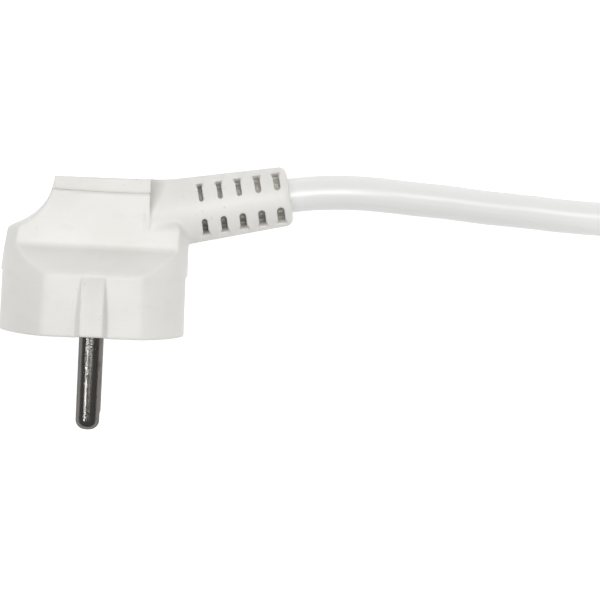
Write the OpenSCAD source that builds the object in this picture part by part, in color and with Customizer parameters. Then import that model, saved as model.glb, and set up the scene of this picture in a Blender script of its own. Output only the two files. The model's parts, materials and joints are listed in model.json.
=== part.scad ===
// Three-core extension lead: an angled side-entry plug, its cord and an inline socket.
// The plug lies on one of its flat sides. +X runs along the cord, +Y points away from
// the tips of the pins, and +Z is up. The origin is under the middle of the plug.

/* [Plug body] */
// Diameter of the round body
plug_d = 37.8; // [36:0.1:46]
// Height of the flat sides above the pin face
flat_h = 12.8; // [11:0.1:14]
// Height above the pin face where the sloping shoulder ends
shoulder_h = 18.8; // [17:0.1:20]
// Thickness of the grip above the shoulder
grip_t = 17.3; // [16:0.1:18]
// Thickness of the grip at its top
grip_top_t = 16.2; // [15.5:0.1:17]
// Height of the plug above the pin face
plug_h = 31.6; // [30:0.1:38]
// Distance from the axis to the free end of the grip's top
grip_left = 9; // [7:0.1:11]
// Distance from the axis to the cord end of the grip's top
grip_right = 10.7; // [9:0.1:12]
// Radius of the hollow sweep at the free end of the grip
sweep_r = 11.8; // [11:0.1:13]
// Height of the finger lip round the top of the grip
lip_h = 2.4; // [1.5:0.1:3]
// How far the lip stands out of the grip
lip_out = 0.6; // [0.3:0.1:1]
// Height of the shoulder below the neck, above the pin face
neck_step_h = 24; // [22:0.1:26]
// Radius of the rounded shoulders
shoulder_r = 2.6; // [1:0.1:3]
// Width of a guide groove at its floor
groove_w = 4.5; // [4:0.1:5]
// Width of a guide groove at its mouth
groove_mouth_w = 6.6; // [5.5:0.1:7]
// Depth of a guide groove
groove_depth = 1.5; // [1:0.1:2]
// Wall between the pin bridge and a guide groove
groove_wall = 1.6; // [1:0.1:2.4]
// Length over which a guide groove runs out
groove_run_out = 4; // [2:0.1:6]

/* [Pins] */
// Diameter of a pin
pin_d = 4.8; // [4:0.1:5.8]
// Length of a pin outside the plug
pin_len = 19; // [17:0.1:23]
// Distance between the two pins
pin_pitch = 19; // [18:0.1:20]
// Radius of a pin's rounded tip
pin_tip_r = 2; // [1:0.1:2.1]
// Step out from a pin to its shank in the bridge
shank_step = 0.5; // [0.3:0.1:0.8]
// Wall round the round side of the pin bridge
bridge_wall = 3.4; // [2.6:0.1:4]
// Wall of the pin bridge beside a shank
bridge_land = 0.9; // [0.6:0.1:1.6]
// Height of the pin bridge
bridge_h = 10; // [9:0.1:10.5]

/* [Earth contacts] */
// Width of the earth strap
strap_w = 7.6; // [6:0.1:8]
// Thickness of the earth strap
strap_t = 0.8; // [0.6:0.1:1]
// Depth of the side clips below the round body
clip_inset = 0.5; // [0.3:0.1:0.8]
// Height of a side clip's tip above the pin face
clip_tip_h = 1; // [0.5:0.1:2]
// Distance of the earth hole from the line of the pins
earth_offset = 10; // [9.5:0.1:10.5]
// Clearance round a pin in an earth sleeve or a contact
pin_gap = 0.1; // [0.05:0.05:0.4]
// Wall of the earth sleeve
earth_sleeve_wall = 0.7; // [0.5:0.1:0.9]

/* [Strain relief] */
// Tilt of the plug's strain relief above the pin face
relief_tilt = 11.1; // [8:0.1:14]
// Distance of its root from the round body
relief_out = 0.3; // [0.2:0.1:3]
// Height of its root above the pin face
relief_h = 25.6; // [24:0.1:28]
// Length of its ringed part
relief_len = 20.5; // [20:0.1:26]
// Diameter at its root
relief_root_d = 13.5; // [13:0.1:15]
// Diameter at its end
relief_end_d = 12.1; // [11:0.1:13]
// Number of gaps along it
relief_gaps = 5; // [3:1:5]
// Distance between gaps
relief_pitch = 3.9; // [3.6:0.1:4.2]
// Width of a gap
relief_gap_w = 1.2; // [0.8:0.1:1.6]
// Height of the solid spine on each side
relief_spine = 4; // [3:0.1:5]
// Depth of the root's anchor in the housing
anchor_len = 6; // [4:0.1:8]
// Length of the neck on the housing
neck_len = 13; // [11:0.1:14]
// Diameter of the neck inside the housing
neck_root_d = 14.6; // [14:0.1:15]

/* [Cord] */
// Diameter of the cord
cord_d = 7; // [5.8:0.1:8.4]
// Diameter of an insulated core
core_d = 2.6; // [2:0.1:2.8]
// Gap between turns that lie side by side
turn_gap = 0.1; // [0:0.1:1]
// Layers of turns in the hank
hank_layers = 4; // [2:1:5]
// Radius of the hank's innermost folds
fold_r = 21.2; // [21:0.1:28]
// Radius of the innermost turn's inward curve at the waist
waist_r = 35.1; // [35:0.1:45]
// Width of the tie round the hank
tie_w = 12; // [8:1:20]
// Thickness of the tie
tie_t = 1.2; // [0.8:0.1:2]

/* [Socket] */
// Clearance round a plug in the recess
recess_gap = 0.8; // [0.4:0.1:1.2]
// Depth of the recess
recess_depth = 17.5; // [15:0.1:21]
// Wall of the insert round the recess
insert_wall = 1.7; // [1.5:0.1:2.2]
// Thickness of the insert's floor
floor_t = 2.6; // [2:0.1:3]
// Wall of the casing
casing_wall = 2.4; // [2:0.1:3]
// Clearance round a pin in a hole of the insert
hole_gap = 0.6; // [0.4:0.1:0.8]
// Clearance round a guide rib in a plug's groove, at its sides
rib_side_gap = 0.2; // [0.1:0.1:0.4]
// Clearance round a guide rib in a plug's groove, at its crest
rib_crest_gap = 0.4; // [0.2:0.1:0.6]
// Wall of a contact sleeve
contact_wall = 0.8; // [0.6:0.1:1]
// Room beyond a pin's tip in a contact sleeve
tip_room = 0.8; // [0.4:0.1:2]
// Length of the casing behind the contact block
tail_len = 18; // [16:0.1:22]
// Length of the socket's neck
socket_neck_len = 6; // [5:0.1:8]
// Length of the socket's ringed relief
socket_relief_len = 26; // [24:0.1:32]
// Diameter of the socket's relief at its root
socket_relief_root_d = 14.8; // [14:0.1:15.5]

/* [Shutter] */
// Overlap of the closed shutter round a pin hole
shutter_lap = 0.9; // [0.6:0.1:1.2]
// Thickness of the shutter
shutter_t = 3.6; // [3:0.1:3.8]
// Edge of the shutter beyond its pin holes
shutter_edge = 1.2; // [1:0.1:1.4]
// Edge of the shutter on the side of its spring
spring_side_lap = 1.6; // [1.3:0.1:1.8]
// Wall between the shutter and the contacts
chamber_floor = 0.8; // [0.6:0.1:1.2]
// Outer diameter of the return spring
spring_d = 4; // [3.4:0.1:4.2]
// Wire diameter of the return spring
spring_wire = 0.5; // [0.4:0.1:0.6]
// Turns of the return spring
spring_turns = 6; // [5:1:7]

/* [Hidden] */
$fn = 64;

seat_gap = 0.1;    // between pieces that seat in each other
move_gap = 0.3;    // round the moving shutter
eps = 0.01;

white_pvc = [0.91, 0.91, 0.89];
insert_white = [0.86, 0.86, 0.83];
cord_white = [0.94, 0.95, 0.95];
nickel = [0.72, 0.70, 0.66];
brass = [0.80, 0.66, 0.32];
steel = [0.60, 0.61, 0.63];
core_brown = [0.40, 0.22, 0.12];
core_blue = [0.15, 0.35, 0.75];
core_green = [0.35, 0.62, 0.18];
shutter_grey = [0.78, 0.78, 0.76];
tie_black = [0.12, 0.12, 0.13];

// Plug frame: x runs towards the cord, y towards the floor along the line of the pins,
// and z is the height above the pin face.
plug_r = plug_d / 2;
grip_r = grip_t / 2;
grip_top_r = grip_top_t / 2;
pin_r = pin_d / 2;
shank_r = pin_r + shank_step;
bridge_r = plug_r - bridge_wall;
bridge_half = pin_pitch / 2 + shank_r + bridge_land;
flats_r = bridge_half + groove_wall + groove_depth;
relief_end_r = relief_end_d / 2;
cord_r = cord_d / 2;
core_r = core_d / 2;
sheath_bore_r = cord_r + seat_gap;
relief_u = plug_r + relief_out;
relief_round = 1;
plug_reach = relief_u + (relief_len - relief_round) * cos(relief_tilt)
    + (relief_end_r - relief_round) * sin(relief_tilt) + relief_round;
plug_rise = relief_h + (relief_len - relief_round) * sin(relief_tilt)
    + (relief_end_r - relief_round) * cos(relief_tilt) + relief_round;
plug_x = (plug_r - plug_reach) / 2;
plug_y = (pin_len - plug_rise) / 2;

// The hollow sweep at the free end of the grip, and the rounded shoulder below it
sweep_x = -grip_left - sweep_r;
sweep_h = plug_h + 0.9;
round_x = -plug_r + shoulder_r;
round_h = sweep_h - sqrt(pow(sweep_r + shoulder_r, 2) - pow(round_x - sweep_x, 2));
sweep_foot = atan2(round_h - sweep_h, round_x - sweep_x);
sweep_head = asin((plug_h - sweep_h) / sweep_r);

// Wiring space in the plug
sheath_in = 10.5;
sheath_u = relief_u - sheath_in * cos(relief_tilt);
sheath_h = relief_h - sheath_in * sin(relief_tilt);
ferrule_r = 1.9;
ferrule_bore_r = core_r + 0.05;
ferrule_len = 5;
crimp_h = bridge_h + 2.8;
strap_h = bridge_h + 1.2;
earth_crimp_h = strap_h + strap_t + ferrule_r;
stem_r = 1.2;
pin_bore_r = pin_r + pin_gap;
sleeve_r = pin_bore_r + earth_sleeve_wall;
lower_space_l = 2 * (earth_offset + sleeve_r + seat_gap);
lower_space_w = pin_pitch + 2 * (ferrule_r + seat_gap);
lower_space_h = bridge_h + 5.6;
upper_space_w = 14.2;
upper_space_h = shoulder_h + 7;
upper_space_start = -5;
upper_space_end = sheath_u + 3;

// Where the cord lies. The exit is the end of the plug's strain relief.
hank_x = 172;
hank_y = -5;
lead_route = [
    [28.7, 21.4, 16.4], [34, 22.1, 16.4], [39, 22.4, 16.3], [44, 22.4, 15.9], [49, 22.1, 15.2],
    [54, 21.7, 14.2], [60, 21.3, 12.6], [66, 20.7, 10.9], [72, 20.2, 9.2], [78, 19.8, 7.5],
    [84, 19.3, 6], [89, 19, 4.9], [94, 18.8, 4.1], [99, 18.8, cord_r + 0.1], [107, 19.4, cord_r],
    [113, 20.4, cord_r]
];
tail_route = [
    [236.2, 11.1, 24.8], [240, 6.8, 24.6], [245, 3, 24.4], [250, 0.5, 24.2], [255, -0.7, 24],
    [260, -1, 23.9]
];
turn_pitch = cord_d + turn_gap;
fold_out = fold_r + turn_pitch + cord_r;
waist_in = waist_r - turn_pitch - cord_r;
waist_y = waist_r + turn_pitch / 2;
fold_x = sqrt(pow(fold_r + waist_r, 2) - pow(waist_y, 2));
hank_h = (hank_layers - 1) * turn_pitch + cord_d;
waist_half = 1.5 * turn_pitch + cord_r;

// Socket frame: z runs out of the recess from its floor, y along the line of the pins,
// and x towards the floor.
recess_r = plug_r + recess_gap;
insert_r = recess_r + insert_wall;
rib_w = groove_w - 2 * rib_side_gap;
rib_crest = flats_r - groove_depth + rib_crest_gap;
socket_r = insert_r + seat_gap + casing_wall;
block_r = recess_r - 0.5;
body_r = block_r + seat_gap + casing_wall;
pin_hole_r = pin_r + hole_gap;
shutter_travel = 2 * pin_hole_r;
shutter_above = pin_hole_r + spring_side_lap;
shutter_below = shutter_travel + pin_hole_r + shutter_edge;
shutter_w = pin_pitch + 2 * (pin_hole_r + shutter_lap);
block_front = -floor_t - seat_gap;
shutter_back = block_front - move_gap - shutter_t;
chamber_back = shutter_back - move_gap;
contact_front = chamber_back - chamber_floor;
contact_back = -pin_len - tip_room - contact_wall;
block_back = contact_back - 1.3;
seat_back = block_back - 2.5;
neck_front = block_back - tail_len;
neck_back = neck_front - socket_neck_len;
socket_rear = neck_back - socket_relief_len;
socket_relief_r = socket_relief_root_d / 2;
neck_r = socket_relief_r + 1;
chamber_below = shutter_below + move_gap;
chamber_above = shutter_above + shutter_travel + move_gap;
chamber_half = shutter_w / 2 + move_gap;
spring_rest = 11;
spring_end = shutter_above + move_gap + spring_rest;
contact_r = pin_bore_r + contact_wall;
arm_x = recess_r - 1.4;
arm_t = 0.7;
arm_w = 6;
arm_tip = 13;
bracket_z = block_back - 0.3;
socket_ferrule_z = bracket_z - arm_t - 0.3;
socket_x = 332;
socket_y = -1;

module place_plug() {
    translate([plug_x, plug_y, flats_r]) rotate([-90, 0, 0]) children();
}

module along_relief() {
    translate([relief_u, 0, relief_h]) rotate([0, 90 - relief_tilt, 0]) children();
}

module place_socket() {
    translate([socket_x, socket_y, socket_r]) rotate([0, 90, 0]) children();
}

function arc(cx, cy, r, from, to, steps) =
    [for (i = [0:steps]) let (a = from + (to - from) * i / steps) [cx + r * cos(a), cy + r * sin(a)]];

function unit(v) = v / norm(v);

// Directions along a route, and a frame at each of its points that leans as little as it can
function heading(p, i) =
    unit(p[min(i + 1, len(p) - 1)] - p[max(i - 1, 0)]);
function side_of(t) = unit(cross(t, abs(t[2]) > 0.9 ? [0, 1, 0] : [0, 0, 1]));
function ring(p, i, r, sides) =
    let (t = heading(p, i), a = side_of(t), b = cross(a, t))
    [for (k = [0:sides - 1]) p[i] + r * (cos(360 * k / sides) * a + sin(360 * k / sides) * b)];

// A round tube along the points of a route
module tube(route, r, sides) {
    last = len(route) - 1;
    points = [for (i = [0:last]) each ring(route, i, r, sides)];
    walls = [for (i = [0:last - 1], k = [0:sides - 1])
        let (n = (k + 1) % sides)
        [i * sides + k, i * sides + n, (i + 1) * sides + n, (i + 1) * sides + k]];
    near = [[for (k = [0:sides - 1]) sides - 1 - k]];
    far = [[for (k = [0:sides - 1]) last * sides + k]];
    polyhedron(points = points, faces = concat(walls, near, far), convexity = 6);
}

// Side view of the plug body and its grip
module plug_outline() {
    polygon(concat(
        [[plug_r, 0], [-plug_r, 0]],
        arc(round_x, round_h, shoulder_r, 180, 180 + sweep_foot, 5),
        arc(sweep_x, sweep_h, sweep_r, sweep_foot, sweep_head, 12),
        [[grip_right, plug_h], [grip_right, neck_step_h]],
        arc(plug_r - shoulder_r, neck_step_h - shoulder_r, shoulder_r, 90, 0, 5)
    ));
}

// End view of the plug body: flat sides, sloping shoulders and the thinner grip
module thickness_outline() {
    polygon([
        [-flats_r, 0], [flats_r, 0], [flats_r, flat_h], [grip_r, shoulder_h],
        [grip_top_r, plug_h], [-grip_top_r, plug_h], [-grip_r, shoulder_h], [-flats_r, flat_h]
    ]);
}

module side_slab(half) {
    translate([0, half, 0]) rotate([90, 0, 0]) linear_extrude(2 * half) plug_outline();
}

module plug_solid() {
    intersection() {
        side_slab(flats_r + eps);
        translate([-plug_r - eps, 0, 0]) rotate([90, 0, 90])
            linear_extrude(plug_d + 2 * eps) thickness_outline();
        cylinder(h = plug_h + eps, r = plug_r, $fn = 96);
    }
    intersection() {
        side_slab(grip_top_r + lip_out);
        translate([-plug_r, -plug_r, plug_h - lip_h]) cube([plug_d, plug_d, lip_h]);
    }
    along_relief() translate([0, 0, -neck_len])
        cylinder(h = neck_len, d1 = neck_root_d, d2 = relief_root_d);
}

// Guide groove in the flat side at +y, running out towards the shoulder
module guide_groove() {
    run = flat_h - 0.5;
    floor_y = flats_r - groove_depth;
    out = 1;
    flare = (groove_mouth_w - groove_w) / 2 / groove_depth * (groove_depth + out);
    hull() {
        for (z = [-out, run - groove_run_out]) translate([0, 0, z]) linear_extrude(eps) polygon([
            [-groove_w / 2, floor_y], [groove_w / 2, floor_y],
            [groove_w / 2 + flare, flats_r + out], [-groove_w / 2 - flare, flats_r + out]
        ]);
        translate([-groove_w / 2, flats_r, run]) cube([groove_w, out, eps]);
    }
}

module bridge_shape(r, half, h) {
    intersection() {
        cylinder(h = h, r = r);
        translate([-r, -half, 0]) cube([2 * r, 2 * half, h]);
    }
}

module plug_overmould() color(white_pvc) place_plug() difference() {
    plug_solid();
    for (side = [0, 180]) rotate([0, 0, side]) guide_groove();
    translate([0, 0, -eps])
        bridge_shape(bridge_r + seat_gap, bridge_half + seat_gap, bridge_h + seat_gap);
    translate([-lower_space_l / 2, -lower_space_w / 2, bridge_h])
        cube([lower_space_l, lower_space_w, lower_space_h - bridge_h]);
    translate([upper_space_start, -upper_space_w / 2, lower_space_h - eps])
        cube([upper_space_end - upper_space_start, upper_space_w, upper_space_h - lower_space_h]);
    for (side = [0, 180]) rotate([0, 0, side])
        translate([plug_r - clip_inset - strap_t - seat_gap, -strap_w / 2 - seat_gap, -eps])
            cube([5, strap_w + 2 * seat_gap, strap_h + strap_t + seat_gap]);
    translate([-plug_r, -strap_w / 2 - seat_gap, strap_h - seat_gap])
        cube([plug_d, strap_w + 2 * seat_gap, strap_t + 2 * seat_gap]);
    along_relief() {
        translate([0, 0, -sheath_in - 4]) cylinder(h = sheath_in + 5, r = sheath_bore_r);
        translate([0, 0, -anchor_len - seat_gap])
            cylinder(h = anchor_len + 1, d = relief_end_d - 1.6 + 2 * seat_gap);
    }
}

// Tapered, ringed sleeve along +z: its anchor is below zero and its spines face +y and -y
module ringed_relief(length, root_d, anchor, anchor_d) {
    difference() {
        union() {
            rotate_extrude() polygon(concat(
                [[0, seat_gap], [root_d / 2, seat_gap]],
                arc(relief_end_r - relief_round, length - relief_round, relief_round, 0, 90, 4),
                [[0, length]]
            ));
            translate([0, 0, -anchor]) cylinder(h = anchor + seat_gap + eps, d = anchor_d);
        }
        translate([0, 0, -anchor - 1]) cylinder(h = length + anchor + 2, r = sheath_bore_r);
        for (i = [0:relief_gaps - 1]) {
            last_gap = length - relief_pitch / 2 - relief_gap_w;
            translate([0, 0, last_gap - i * relief_pitch]) for (side = [-1, 1]) {
                low = side > 0 ? relief_spine / 2 : -root_d;
                translate([low, -root_d, 0])
                    cube([root_d - relief_spine / 2, 2 * root_d, relief_gap_w]);
            }
        }
    }
}

module plug_relief() color(white_pvc) place_plug() along_relief()
    ringed_relief(relief_len, relief_root_d, anchor_len, relief_end_d - 1.6);

module pin_bridge() color(insert_white) place_plug() difference() {
    bridge_shape(bridge_r, bridge_half, bridge_h);
    for (y = [-1, 1]) translate([0, y * pin_pitch / 2, -1])
        cylinder(h = bridge_h + 2, r = shank_r + seat_gap);
    translate([-earth_offset, 0, -1]) cylinder(h = bridge_h + 2, r = sleeve_r + seat_gap);
}

// Solid pin with a rounded tip, a thicker shank in the bridge and a stem for its ferrule
module pin_at(y) {
    translate([0, y, 0]) {
        rotate_extrude() polygon(concat(
            [[0, 0], [0, -pin_len]],
            arc(pin_r - pin_tip_r, -pin_len + pin_tip_r, pin_tip_r, -90, 0, 6),
            [[pin_r, 0]]
        ));
        cylinder(h = bridge_h, r = shank_r);
        translate([0, 0, bridge_h]) cylinder(h = crimp_h + 0.8 - bridge_h, r = stem_r);
    }
}

module live_pin() color(nickel) place_plug() pin_at(-pin_pitch / 2);

module neutral_pin() color(nickel) place_plug() pin_at(pin_pitch / 2);

// One bent strip: a clip down each side of the plug, joined over the pin bridge
module earth_strap() color(nickel) place_plug() {
    reach = plug_r - clip_inset;
    translate([-reach, -strap_w / 2, strap_h]) cube([2 * reach, strap_w, strap_t]);
    for (side = [0, 180]) rotate([0, 0, side])
        translate([reach - strap_t, -strap_w / 2, clip_tip_h])
            cube([strap_t, strap_w, strap_h + strap_t - clip_tip_h]);
}

module earth_sleeve() color(nickel) place_plug() translate([-earth_offset, 0, 0.4]) difference() {
    cylinder(h = strap_h - seat_gap - 0.4, r = sleeve_r);
    translate([0, 0, -1]) cylinder(h = strap_h + 1, r = pin_bore_r);
}

module ferrule() {
    difference() {
        cylinder(h = ferrule_len, r = ferrule_r);
        translate([0, 0, 0.8]) cylinder(h = ferrule_len, r = ferrule_bore_r);
    }
}

module plug_ferrules() color(brass) place_plug() {
    for (y = [-1, 1]) translate([stem_r + seat_gap, y * pin_pitch / 2, crimp_h])
        rotate([0, 90, 0]) ferrule();
    translate([-3.4, 0, earth_crimp_h + seat_gap]) rotate([0, 90, 0]) ferrule();
}

// The cores of the plug start at the end of the sheath and run into their ferrules.
function plug_side_core(side) = let (y = side * pin_pitch / 2) [
    [sheath_u - 1, side * 1.5, sheath_h - 0.8], [sheath_u - 1.7, side * 2.4, sheath_h - 3],
    [8, side * 4, 17.8], [9.2, side * 5.1, 15.5],
    [9.6, side * 7.4, 13.6], [8.6, 0.96 * y, crimp_h + 0.1], [7.2, y, crimp_h],
    [stem_r + seat_gap + 1, y, crimp_h]
];

module plug_live_core() color(core_brown) place_plug() tube(plug_side_core(-1), core_r, 8);

module plug_neutral_core() color(core_blue) place_plug() tube(plug_side_core(1), core_r, 8);

module plug_earth_core() color(core_green) place_plug() tube([
    [sheath_u - 1.6, 0, sheath_h + 1.2], [4.6, 0, 23.6], [3, 0, 20.8], [3.6, 0, 17.6], [4.2, 0, 15.6],
    [3, 0, 14.2], [1.8, 0, earth_crimp_h + seat_gap], [-2.4, 0, earth_crimp_h + seat_gap]
], core_r, 8);

module plug_sheath_end() color(cord_white) place_plug() along_relief()
    translate([0, 0, -sheath_in]) cylinder(h = sheath_in + relief_len, r = cord_r);

module cord_lead() color(cord_white) tube(lead_route, cord_r, 12);

module cord_tail() color(cord_white) tube(tail_route, cord_r, 12);

// Outer shape of the tied hank: two folds and a waist
module hank_outline() {
    share = fold_out / (fold_out + waist_in);
    difference() {
        union() {
            for (side = [-1, 1]) translate([side * fold_x, 0]) circle(fold_out, $fn = 96);
            difference() {
                square([2 * fold_x * (1 - share), 2 * waist_y * share], center = true);
                for (side = [-1, 1]) translate([0, side * waist_y]) circle(waist_in, $fn = 96);
            }
        }
        for (side = [-1, 1]) translate([side * fold_x, 0]) circle(fold_r - cord_r);
    }
}

module cord_hank() color(cord_white) translate([hank_x, hank_y, 0]) difference() {
    linear_extrude(hank_h) hank_outline();
    difference() {
        translate([-tie_w / 2 - 1, -fold_out, -1]) cube([tie_w + 2, 2 * fold_out, hank_h + 2]);
        translate([-tie_w / 2 - 2, -waist_half, tie_t + seat_gap])
            cube([tie_w + 4, 2 * waist_half, hank_h]);
    }
}

// Strap round the waist of the hank, its end lying on itself
module cord_tie() color(tie_black) translate([hank_x - tie_w / 2, hank_y, 0]) {
    inner = waist_half + seat_gap;
    outer = inner + tie_t;
    top = hank_h + seat_gap;
    difference() {
        translate([0, -outer, 0]) cube([tie_w, 2 * outer, top + tie_t]);
        translate([-1, -inner, tie_t]) cube([tie_w + 2, 2 * inner, top - tie_t]);
    }
    translate([0, -outer + 4, top + tie_t]) cube([tie_w, outer + 2, tie_t]);
}

// Round shell along the socket's axis, from an outer and an inner outline
module socket_casing() color(white_pvc) place_socket() difference() {
    rotate_extrude($fn = 96) polygon(concat(
        [[0, recess_depth]],
        arc(socket_r - 1.2, recess_depth - 1.2, 1.2, 90, 0, 3),
        [[socket_r, -1.5], [body_r + 0.3, -6.5], [body_r, block_back]],
        arc(body_r - 12, block_back, 12, 0, -72, 6),
        [[neck_r + 0.8, neck_front - 1], [neck_r, neck_back], [0, neck_back]]
    ));
    translate([0, 0, block_front]) cylinder(h = recess_depth + 20, r = insert_r + seat_gap);
    translate([0, 0, seat_back]) cylinder(h = block_front - seat_back + 1, r = block_r + seat_gap);
    translate([0, 0, neck_front + 1])
        cylinder(h = seat_back - neck_front - 1 + eps, r1 = neck_r - 2, r2 = block_r - 0.5);
    translate([0, 0, neck_back - 1]) cylinder(h = tail_len, r = socket_relief_r - 1.4 + seat_gap);
}

module socket_insert() color(insert_white) place_socket() difference() {
    union() {
        difference() {
            translate([0, 0, -floor_t])
                cylinder(h = recess_depth - 0.3 + floor_t, r = insert_r, $fn = 96);
            cylinder(h = recess_depth + 1, r = recess_r, $fn = 96);
        }
        for (side = [0, 180]) rotate([0, 0, side])
            translate([-rib_w / 2, rib_crest, -eps])
                cube([rib_w, recess_r - rib_crest + 0.5, recess_depth - 2]);
    }
    for (y = [-1, 1]) translate([0, y * pin_pitch / 2, -floor_t - 1])
        cylinder(h = floor_t + 2, r = pin_hole_r);
    for (side = [0, 180]) rotate([0, 0, side])
        translate([arm_x - arm_t - 0.6, -arm_w / 2 - 0.3, -floor_t - 1])
            cube([arm_t + 1.2, arm_w + 0.6, floor_t + 1 + eps]);
}

module socket_contact_block() color(insert_white) place_socket() difference() {
    translate([0, 0, block_back]) cylinder(h = block_front - block_back, r = block_r);
    translate([-chamber_above, -chamber_half, chamber_back])
        cube([chamber_above + chamber_below, 2 * chamber_half, 10]);
    translate([-spring_end, -spring_d / 2 - move_gap, chamber_back])
        cube([spring_end, spring_d + 2 * move_gap, 10]);
    for (y = [-1, 1]) translate([0, y * pin_pitch / 2, 0]) {
        translate([0, 0, block_back - 1])
            cylinder(h = block_front - block_back, r = pin_hole_r);
        translate([0, 0, block_back - 1])
            cylinder(h = contact_front - block_back + 1, r = contact_r + seat_gap);
    }
    for (side = [0, 180]) rotate([0, 0, side])
        translate([arm_x - arm_t - 0.4, -arm_w / 2 - 0.3, block_back - 1])
            cube([5, arm_w + 0.6, block_front - block_back + 2]);
}

// Sliding plate that closes both pin holes, with a ramp under each for the pin's tip
module socket_shutter() color(shutter_grey) place_socket() difference() {
    translate([-shutter_above, -shutter_w / 2, shutter_back])
        cube([shutter_above + shutter_below, shutter_w, shutter_t]);
    for (y = [-1, 1]) {
        translate([shutter_travel, y * pin_pitch / 2, shutter_back - 1])
            cylinder(h = shutter_t + 2, r = pin_hole_r);
        translate([-2.6, y * pin_pitch / 2 - pin_r, shutter_back + shutter_t])
            rotate([0, 20, 0]) translate([0, 0, -0.2]) cube([9, pin_d, 5]);
    }
}

module shutter_spring() color(steel) place_socket() {
    steps = spring_turns * 12;
    tube([for (i = [0:steps]) let (a = 360 * i / 12) [
        -shutter_above - move_gap - spring_wire / 2 - (spring_rest - spring_wire) * i / steps,
        (spring_d - spring_wire) / 2 * cos(a),
        (shutter_back + shutter_t / 2) + (spring_d - spring_wire) / 2 * sin(a)
    ]], spring_wire / 2, 6);
}

// Contact sleeve with a closed back and a stem for its ferrule
module contact_at(y) {
    translate([0, y, 0]) {
        difference() {
            translate([0, 0, contact_back])
                cylinder(h = contact_front - contact_back, r = contact_r);
            translate([0, 0, contact_back + contact_wall])
                cylinder(h = contact_front - contact_back, r = pin_bore_r);
        }
        translate([0, 0, socket_ferrule_z])
            cylinder(h = contact_back - socket_ferrule_z + eps, r = stem_r);
    }
}

module live_contact() color(brass) place_socket() contact_at(-pin_pitch / 2);

module neutral_contact() color(brass) place_socket() contact_at(pin_pitch / 2);

// One bent strip: an arm on each side of the recess, joined behind the contact block
module socket_earth_bracket() color(nickel) place_socket() {
    translate([-arm_x, -arm_w / 2, bracket_z - arm_t]) cube([2 * arm_x, arm_w, arm_t]);
    for (side = [0, 180]) rotate([0, 0, side])
        translate([arm_x - arm_t, -arm_w / 2, bracket_z - arm_t])
            cube([arm_t, arm_w, arm_tip - bracket_z + arm_t]);
}

module socket_ferrules() color(brass) place_socket() {
    for (y = [-1, 0, 1]) translate([0, y * pin_pitch / 2, socket_ferrule_z - seat_gap])
        mirror([0, 0, 1]) ferrule();
}

// The cores of the socket run from their ferrules to the end of the sheath.
function socket_core(side) = let (z = socket_ferrule_z - seat_gap) [
    [0, side * pin_pitch / 2, z - 1], [0, side * pin_pitch / 2, z - ferrule_len - 0.6],
    [side == 0 ? 0.6 : 0, side * 7, z - ferrule_len - 3],
    [side == 0 ? 1.5 : -0.7, side * 2.4, neck_front + 3.6],
    [side == 0 ? 1.7 : -0.9, side * 1.5, neck_front + 1.6],
    [side == 0 ? 1.7 : -0.9, side * 1.5, neck_front + 0.1]
];

module socket_live_core() color(core_brown) place_socket() tube(socket_core(-1), core_r, 8);

module socket_neutral_core() color(core_blue) place_socket() tube(socket_core(1), core_r, 8);

module socket_earth_core() color(core_green) place_socket() tube(socket_core(0), core_r, 8);

module socket_sheath_end() color(cord_white) place_socket()
    translate([0, 0, socket_rear]) cylinder(h = neck_front - socket_rear, r = cord_r);

module socket_relief() color(white_pvc) place_socket() translate([0, 0, neck_back]) mirror([0, 0, 1])
    ringed_relief(socket_relief_len, socket_relief_root_d, anchor_len, socket_relief_root_d - 2.8);

plug_overmould();
plug_relief();
pin_bridge();
live_pin();
neutral_pin();
earth_strap();
earth_sleeve();
plug_ferrules();
plug_live_core();
plug_neutral_core();
plug_earth_core();
plug_sheath_end();
cord_lead();
cord_hank();
cord_tail();
cord_tie();
socket_casing();
socket_insert();
socket_contact_block();
socket_shutter();
shutter_spring();
live_contact();
neutral_contact();
socket_earth_bracket();
socket_ferrules();
socket_live_core();
socket_neutral_core();
socket_earth_core();
socket_sheath_end();
socket_relief();
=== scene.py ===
"""Extension cord: the looks of an angled side-entry plug, its cord and an inline socket.

Lengths in the shape functions are in millimetres and become metres where a mesh is made.
The plug has its own axes: u towards the cord, h above the pin face, v towards the upper side.
"""
import json
import math

import bpy
import numpy as np
from mathutils import Matrix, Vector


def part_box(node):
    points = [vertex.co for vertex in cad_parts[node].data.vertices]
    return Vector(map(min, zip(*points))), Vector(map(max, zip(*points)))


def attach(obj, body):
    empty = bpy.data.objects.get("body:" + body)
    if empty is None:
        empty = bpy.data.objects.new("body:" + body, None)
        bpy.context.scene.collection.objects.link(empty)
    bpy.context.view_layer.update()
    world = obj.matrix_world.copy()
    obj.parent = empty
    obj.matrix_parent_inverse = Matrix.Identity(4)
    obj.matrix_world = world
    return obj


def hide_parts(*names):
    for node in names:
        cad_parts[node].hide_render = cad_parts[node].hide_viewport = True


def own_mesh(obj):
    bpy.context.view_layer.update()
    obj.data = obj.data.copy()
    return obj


bl_info = {
    "name": "Extension Cord",
    "version": (1, 0, 0),
    "blender": (4, 5, 0),
    "location": "3D View > Sidebar > Extension Cord",
    "description": "Builds an extension cord round its packed frame",
    "category": "Object",
}

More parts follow.
